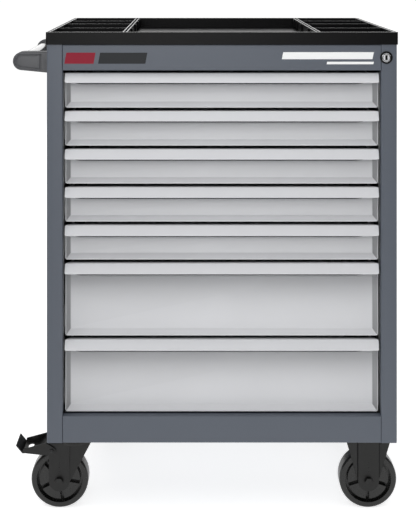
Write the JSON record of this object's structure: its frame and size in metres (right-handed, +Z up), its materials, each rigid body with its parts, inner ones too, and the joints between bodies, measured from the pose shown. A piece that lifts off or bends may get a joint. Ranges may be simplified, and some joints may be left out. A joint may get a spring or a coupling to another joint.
{
  "type": "rolling tool chest",
  "caption": "Rolling tool chest with full-width drawers on slides, a divided top tray, a side push handle, a key lock, and swivel and rigid casters.",
  "frame": {"origin": "bottom centre of the whole object's box, on the floor under the casters", "axes": "+Z up, -Y out of the drawer fronts, +X to the right seen from the front, away from the push handle"},
  "size_m": [0.7796, 0.4608, 0.969],
  "materials": {
    "cabinet_paint": "slate grey powder coat, fine texture",
    "drawer_paint": "light grey powder coat, satin",
    "inner_steel": "bright zinc-plated sheet",
    "tray_plastic": "moulded black ABS, fine grain",
    "handle_plastic": "moulded black nylon",
    "handle_tube": "gloss black powder coat",
    "caster_paint": "black coated pressed steel",
    "wheel_plastic": "moulded black polypropylene",
    "lock_chrome": "polished chrome",
    "fastener_steel": "zinc-plated steel"
  },
  "bodies": {
    "root": {"side_panel_left": "cabinet_paint", "side_panel_right": "cabinet_paint", "top_fascia": "cabinet_paint", "plinth": "cabinet_paint", "back_panel": "cabinet_paint", "base_plate": "cabinet_paint", "top_deck": "cabinet_paint", "slide_uprights": "inner_steel", "slide_outer_members": "inner_steel", "organiser_tray": "tray_plastic", "handle_bracket_front": "handle_plastic", "handle_bracket_rear": "handle_plastic", "handle_tube": "handle_tube", "handle_screws": "fastener_steel", "lock_housing": "lock_chrome", "swivel_plates": "caster_paint", "rigid_forks": "caster_paint", "rigid_axle_bolts": "fastener_steel", "caster_fasteners": "fastener_steel"},
    "key_lock": {"lock_plug": "lock_chrome", "lock_spindle": "inner_steel"},
    "lock_bar": {"lock_bar": "inner_steel"},
    "drawer_1": {"drawer_1_box": "drawer_paint", "drawer_1_front": "drawer_paint", "drawer_1_slide_inner": "inner_steel"},
    "drawer_1_slides": {"drawer_1_slide_middle": "inner_steel"},
    "drawer_2": {"drawer_2_box": "drawer_paint", "drawer_2_front": "drawer_paint", "drawer_2_slide_inner": "inner_steel"},
    "drawer_2_slides": {"drawer_2_slide_middle": "inner_steel"},
    "drawer_3": {"drawer_3_box": "drawer_paint", "drawer_3_front": "drawer_paint", "drawer_3_slide_inner": "inner_steel"},
    "drawer_3_slides": {"drawer_3_slide_middle": "inner_steel"},
    "drawer_4": {"drawer_4_box": "drawer_paint", "drawer_4_front": "drawer_paint", "drawer_4_slide_inner": "inner_steel"},
    "drawer_4_slides": {"drawer_4_slide_middle": "inner_steel"},
    "drawer_5": {"drawer_5_box": "drawer_paint", "drawer_5_front": "drawer_paint", "drawer_5_slide_inner": "inner_steel"},
    "drawer_5_slides": {"drawer_5_slide_middle": "inner_steel"},
    "drawer_6": {"drawer_6_box": "drawer_paint", "drawer_6_front": "drawer_paint", "drawer_6_slide_inner": "inner_steel"},
    "drawer_6_slides": {"drawer_6_slide_middle": "inner_steel"},
    "drawer_7": {"drawer_7_box": "drawer_paint", "drawer_7_front": "drawer_paint", "drawer_7_slide_inner": "inner_steel"},
    "drawer_7_slides": {"drawer_7_slide_middle": "inner_steel"},
    "caster_front_left": {"swivel_fork_front_left": "caster_paint", "axle_bolt_front_left": "fastener_steel"},
    "wheel_front_left": {"wheel_front_left": "wheel_plastic"},
    "pedal_front_left": {"brake_pedal_front_left": "caster_paint"},
    "caster_rear_left": {"swivel_fork_rear_left": "caster_paint", "axle_bolt_rear_left": "fastener_steel"},
    "wheel_rear_left": {"wheel_rear_left": "wheel_plastic"},
    "pedal_rear_left": {"brake_pedal_rear_left": "caster_paint"},
    "wheel_front_right": {"wheel_front_right": "wheel_plastic"},
    "wheel_rear_right": {"wheel_rear_right": "wheel_plastic"}
  },
  "joints": [
    {"name": "drawer_1_pull", "type": "slide", "parent": "root", "child": "drawer_1", "axis": [0, -1, 0], "range_m": [0, 0.38]},
    {"name": "drawer_1_slide_follow", "type": "slide", "parent": "root", "child": "drawer_1_slides", "axis": [0, -1, 0], "range_m": [0, 0.19]},
    {"name": "drawer_2_pull", "type": "slide", "parent": "root", "child": "drawer_2", "axis": [0, -1, 0], "range_m": [0, 0.38]},
    {"name": "drawer_2_slide_follow", "type": "slide", "parent": "root", "child": "drawer_2_slides", "axis": [0, -1, 0], "range_m": [0, 0.19]},
    {"name": "drawer_3_pull", "type": "slide", "parent": "root", "child": "drawer_3", "axis": [0, -1, 0], "range_m": [0, 0.38]},
    {"name": "drawer_3_slide_follow", "type": "slide", "parent": "root", "child": "drawer_3_slides", "axis": [0, -1, 0], "range_m": [0, 0.19]},
    {"name": "drawer_4_pull", "type": "slide", "parent": "root", "child": "drawer_4", "axis": [0, -1, 0], "range_m": [0, 0.38]},
    {"name": "drawer_4_slide_follow", "type": "slide", "parent": "root", "child": "drawer_4_slides", "axis": [0, -1, 0], "range_m": [0, 0.19]},
    {"name": "drawer_5_pull", "type": "slide", "parent": "root", "child": "drawer_5", "axis": [0, -1, 0], "range_m": [0, 0.38]},
    {"name": "drawer_5_slide_follow", "type": "slide", "parent": "root", "child": "drawer_5_slides", "axis": [0, -1, 0], "range_m": [0, 0.19]},
    {"name": "drawer_6_pull", "type": "slide", "parent": "root", "child": "drawer_6", "axis": [0, -1, 0], "range_m": [0, 0.38]},
    {"name": "drawer_6_slide_follow", "type": "slide", "parent": "root", "child": "drawer_6_slides", "axis": [0, -1, 0], "range_m": [0, 0.19]},
    {"name": "drawer_7_pull", "type": "slide", "parent": "root", "child": "drawer_7", "axis": [0, -1, 0], "range_m": [0, 0.38]},
    {"name": "drawer_7_slide_follow", "type": "slide", "parent": "root", "child": "drawer_7_slides", "axis": [0, -1, 0], "range_m": [0, 0.19]},
    {"name": "key_turn", "type": "hinge", "parent": "root", "child": "key_lock", "pos_m": [0.36035, -0.228, 0.9184], "axis": [0, 1, 0], "range_deg": [0, 90]},
    {"name": "bar_lift", "type": "slide", "parent": "root", "child": "lock_bar", "axis": [0, 0, 1], "range_m": [0, 0.012]},
    {"name": "swivel_front_left", "type": "hinge", "parent": "root", "child": "caster_front_left", "pos_m": [-0.26425, -0.172, 0.1495], "axis": [0, 0, 1], "continuous": true},
    {"name": "roll_front_left", "type": "hinge", "parent": "caster_front_left", "child": "wheel_front_left", "pos_m": [-0.29425, -0.172, 0.058], "axis": [0, 1, 0], "continuous": true},
    {"name": "brake_front_left", "type": "hinge", "parent": "caster_front_left", "child": "pedal_front_left", "pos_m": [-0.30925, -0.172, 0.119], "axis": [0, -1, 0], "range_deg": [0, 13]},
    {"name": "swivel_rear_left", "type": "hinge", "parent": "root", "child": "caster_rear_left", "pos_m": [-0.26425, 0.172, 0.1495], "axis": [0, 0, 1], "continuous": true},
    {"name": "roll_rear_left", "type": "hinge", "parent": "caster_rear_left", "child": "wheel_rear_left", "pos_m": [-0.23425, 0.172, 0.058], "axis": [0, 1, 0], "continuous": true},
    {"name": "brake_rear_left", "type": "hinge", "parent": "caster_rear_left", "child": "pedal_rear_left", "pos_m": [-0.21925, 0.172, 0.119], "axis": [0, 1, 0], "range_deg": [0, 13]},
    {"name": "roll_front_right", "type": "hinge", "parent": "root", "child": "wheel_front_right", "pos_m": [0.33175, -0.172, 0.058], "axis": [0, 1, 0], "continuous": true},
    {"name": "roll_rear_right", "type": "hinge", "parent": "root", "child": "wheel_rear_right", "pos_m": [0.33175, 0.172, 0.058], "axis": [0, 1, 0], "continuous": true}
  ],
  "couplings": [
    {"joint": "drawer_1_slide_follow", "follows": "drawer_1_pull", "ratio": 0.5},
    {"joint": "drawer_2_slide_follow", "follows": "drawer_2_pull", "ratio": 0.5},
    {"joint": "drawer_3_slide_follow", "follows": "drawer_3_pull", "ratio": 0.5},
    {"joint": "drawer_4_slide_follow", "follows": "drawer_4_pull", "ratio": 0.5},
    {"joint": "drawer_5_slide_follow", "follows": "drawer_5_pull", "ratio": 0.5},
    {"joint": "drawer_6_slide_follow", "follows": "drawer_6_pull", "ratio": 0.5},
    {"joint": "drawer_7_slide_follow", "follows": "drawer_7_pull", "ratio": 0.5},
    {"joint": "key_turn", "follows": "bar_lift", "rad_per_m": 130.9}
  ]
}
